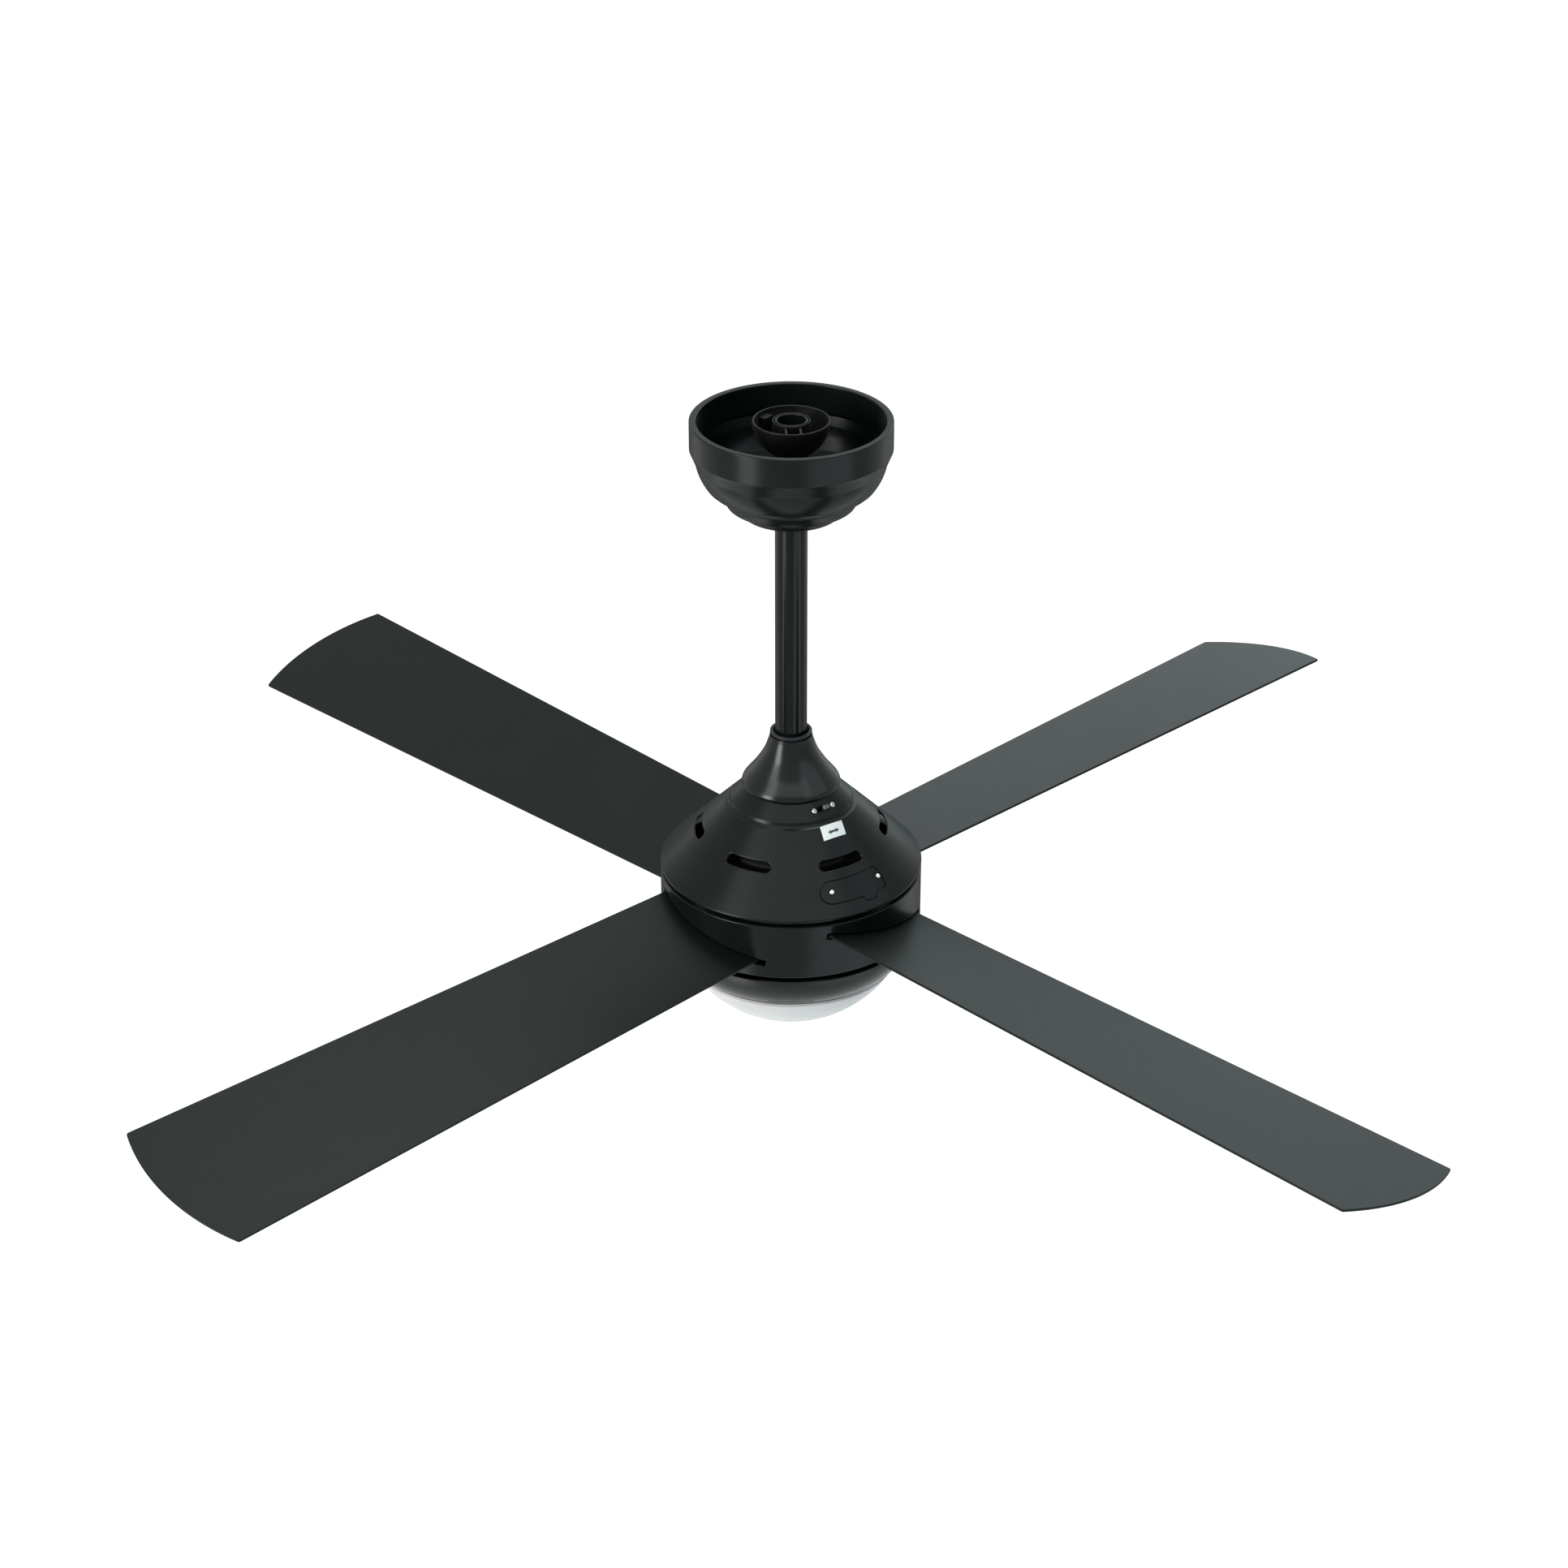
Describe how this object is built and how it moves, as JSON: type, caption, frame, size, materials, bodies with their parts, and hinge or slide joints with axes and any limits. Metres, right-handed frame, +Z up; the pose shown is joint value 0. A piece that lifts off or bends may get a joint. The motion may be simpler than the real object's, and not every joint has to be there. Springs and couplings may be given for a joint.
{
  "type": "ceiling fan with light",
  "caption": "Ceiling fan with flat pitched blades in a slotted drum, a vented cone cover, a downrod, an open stepped canopy with hanger ball, and an opal bowl light.",
  "frame": {"origin": "centre of the canopy's rim and of the hanger ball, in the ceiling plane", "axes": "+Z up along the downrod; the access plate, switch and label face the front right, towards -Y and +X"},
  "size_m": [0.9324, 0.9324, 0.5104],
  "materials": {
    "black_paint": "satin black powder coat with a faint cool tint",
    "black_nylon": "moulded, fine matte grain",
    "grey_rubber": "matte",
    "zinc_steel": "zinc plated",
    "nickel": "bright nickel plate",
    "lamination": "stacked electrical steel",
    "copper": "enamelled copper wire",
    "motor_casting": "die cast, blackened",
    "cast_aluminium": "bare, machined faces",
    "grey_plastic": "moulded, slightly glossy",
    "opal": "opal white, smooth satin",
    "led_board": "white solder mask",
    "white_plastic": "moulded, fine grain"
  },
  "bodies": {
    "root": {"downrod": "black_paint", "top_cover": "black_paint", "access_plate": "black_paint", "light_ring": "black_paint", "hanger_ball": "black_nylon", "reverse_switch": "black_nylon", "run_capacitor": "black_nylon", "ball_pin": "zinc_steel", "rod_coupling": "zinc_steel", "clevis_pin": "zinc_steel", "hairpin_clip": "zinc_steel", "coupling_set_screw_1": "zinc_steel", "coupling_set_screw_2": "zinc_steel", "stator_bracket": "zinc_steel", "motor_shaft": "zinc_steel", "light_plate": "zinc_steel", "shaft_nut": "zinc_steel", "mounting_screw_1": "nickel", "mounting_screw_2": "nickel", "mounting_screw_3": "nickel", "access_screw_1": "nickel", "access_screw_2": "nickel", "switch_screw_1": "nickel", "switch_screw_2": "nickel", "light_screw_1": "nickel", "light_screw_2": "nickel", "light_screw_3": "nickel", "stator_core": "lamination", "stator_winding": "copper", "led_tray": "cast_aluminium", "led_board": "led_board", "led_driver": "white_plastic"},
    "rotor": {"rotor_ring": "lamination", "upper_bearing": "zinc_steel", "lower_bearing": "zinc_steel", "motor_upper_shell": "motor_casting", "motor_lower_shell": "motor_casting", "drum": "black_paint", "motor_screw_1": "nickel", "motor_screw_2": "nickel", "motor_screw_3": "nickel", "blade_1": "black_paint", "blade_2": "black_paint", "blade_3": "black_paint", "blade_4": "black_paint", "blade_screw_1": "nickel", "blade_screw_2": "nickel", "blade_screw_3": "nickel", "blade_screw_4": "nickel", "blade_screw_5": "nickel", "blade_screw_6": "nickel", "blade_screw_7": "nickel", "blade_screw_8": "nickel"},
    "canopy": {"canopy": "black_paint"},
    "trumpet": {"yoke_cover": "black_paint", "neck_collar": "grey_rubber"},
    "knob": {"switch_knob": "grey_plastic"},
    "light_bowl": {"diffuser": "opal"}
  },
  "joints": [
    {"name": "fan_spin", "type": "hinge", "parent": "root", "child": "rotor", "pos_m": [0, 0, -0.4], "axis": [0, 0, 1], "continuous": true},
    {"name": "canopy_slide", "type": "slide", "parent": "root", "child": "canopy", "axis": [0, 0, 1], "range_m": [-0.1, 0]},
    {"name": "trumpet_lift", "type": "slide", "parent": "root", "child": "trumpet", "axis": [0, 0, 1], "range_m": [0, 0.065]},
    {"name": "switch_slide", "type": "slide", "parent": "root", "child": "knob", "axis": [0.8018, 0.5976, 0], "range_m": [-0.0056, 0]},
    {"name": "bowl_twist", "type": "hinge", "parent": "root", "child": "light_bowl", "pos_m": [0, 0, -0.45], "axis": [0, 0, 1], "range_deg": [0, 24]}
  ]
}
